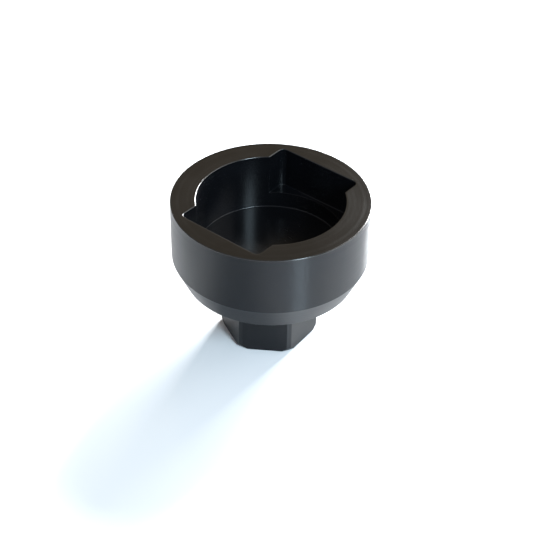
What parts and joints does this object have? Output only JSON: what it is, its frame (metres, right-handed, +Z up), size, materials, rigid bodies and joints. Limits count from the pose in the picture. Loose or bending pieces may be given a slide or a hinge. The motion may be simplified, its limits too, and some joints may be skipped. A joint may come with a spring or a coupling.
{
  "type": "oil filter cap wrench",
  "caption": "Cup wrench that fits over a lugged oil filter cap, turned by a square drive insert or by the hexagon on its boss.",
  "frame": {"origin": "centre of the drive boss's bottom face, which the wrench stands on", "axes": "+Z up the turning axis towards the open mouth; +X along the long side of the lug pocket; the boss's hexagon is turned 4 degrees from the pocket, so one of its flats faces 4 degrees from -Y towards +X"},
  "size_m": [0.072, 0.072, 0.058],
  "materials": {
    "anodised_body": "fine-turned, satin black anodised",
    "insert_steel": "hardened, broached and turned",
    "pin_steel": "hardened and ground"
  },
  "bodies": {
    "root": {"socket_body": "anodised_body", "square_drive_insert": "insert_steel", "left_dowel_pin": "pin_steel", "right_dowel_pin": "pin_steel"}
  },
  "joints": []
}
